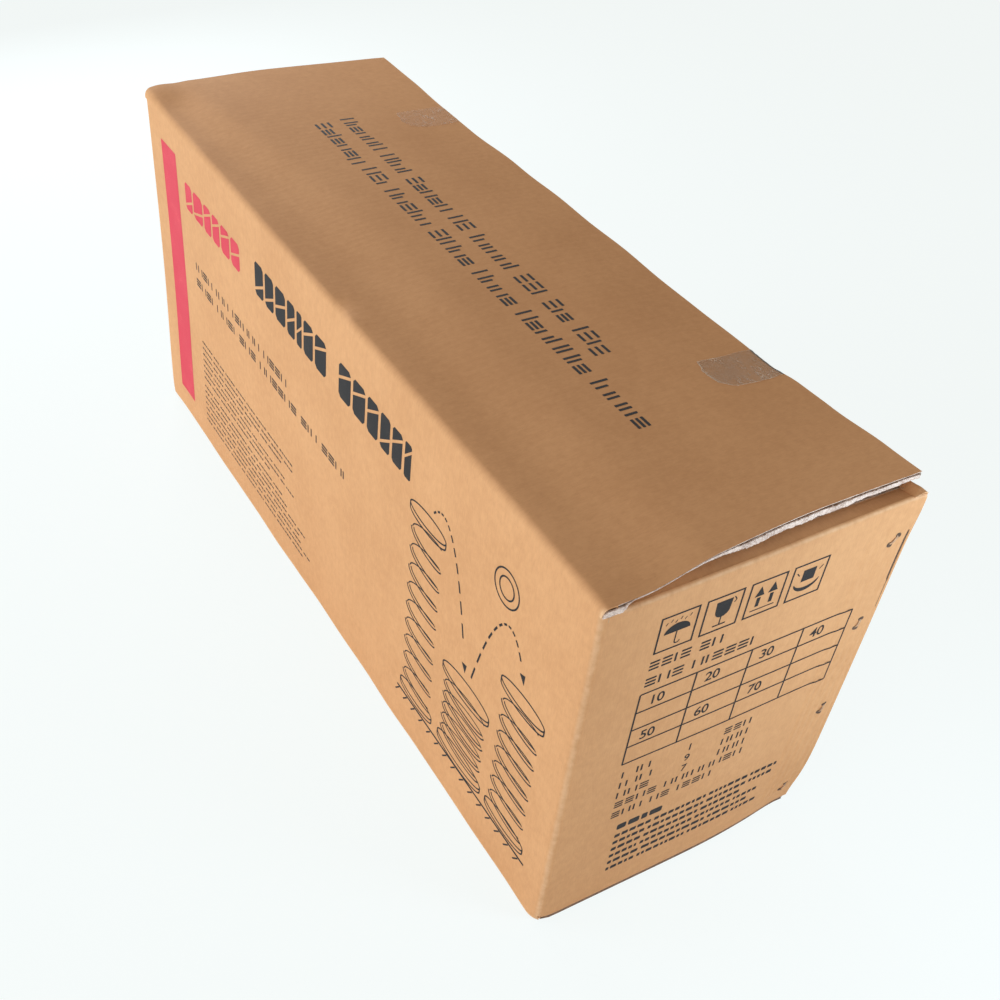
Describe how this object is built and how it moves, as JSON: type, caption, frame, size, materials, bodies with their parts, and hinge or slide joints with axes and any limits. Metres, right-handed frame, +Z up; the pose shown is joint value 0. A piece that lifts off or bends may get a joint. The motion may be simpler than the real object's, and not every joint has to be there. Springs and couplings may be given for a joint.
{
  "type": "corrugated shipping carton",
  "caption": "Long double-wall corrugated carton with a full-width hinged top flap, folding inner and end flaps, a stapled side joint and tape patches.",
  "frame": {"origin": "centre of the carton's footprint on the surface it stands on", "axes": "+Z up; +X along the length towards the label end; -Y out of the long printed side, along which the outer flap is hinged"},
  "size_m": [0.8809, 0.2906, 0.3979],
  "materials": {
    "board": "matt kraft liner",
    "staple_wire": "dull flattened wire",
    "packing_tape": "clear film, wrinkled"
  },
  "bodies": {
    "carton_body": {"front_side_panel": "board", "label_end_panel": "board", "back_side_panel": "board", "far_end_panel": "board", "joint_tab": "board", "joint_staple_1": "staple_wire", "joint_staple_2": "staple_wire", "joint_staple_3": "staple_wire", "joint_staple_4": "staple_wire", "bottom_outer_flap": "board", "bottom_inner_flap": "board", "bottom_label_end_flap": "board", "bottom_far_end_flap": "board", "bottom_seam_tape": "packing_tape"},
    "outer_lid": {"top_outer_flap": "board", "near_lid_tape": "packing_tape", "far_lid_tape": "packing_tape"},
    "inner_lid": {"top_inner_flap": "board"},
    "label_end_lid": {"top_label_end_flap": "board"},
    "far_end_lid": {"top_far_end_flap": "board"}
  },
  "joints": [
    {"name": "outer_flap_hinge", "type": "hinge", "parent": "carton_body", "child": "outer_lid", "pos_m": [0, -0.145, 0.39], "axis": [1, 0, 0], "range_deg": [0, 250]},
    {"name": "inner_flap_hinge", "type": "hinge", "parent": "carton_body", "child": "inner_lid", "pos_m": [0, 0.145, 0.39], "axis": [-1, 0, 0], "range_deg": [0, 125]},
    {"name": "label_end_flap_hinge", "type": "hinge", "parent": "carton_body", "child": "label_end_lid", "pos_m": [0.433, 0, 0.3757], "axis": [0, -1, 0], "range_deg": [0, 70]},
    {"name": "far_end_flap_hinge", "type": "hinge", "parent": "carton_body", "child": "far_end_lid", "pos_m": [-0.433, 0, 0.3757], "axis": [0, 1, 0], "range_deg": [0, 85]}
  ],
  "couplings": [
    {"joint": "inner_flap_hinge", "follows": "outer_flap_hinge", "ratio": 0.5}
  ]
}
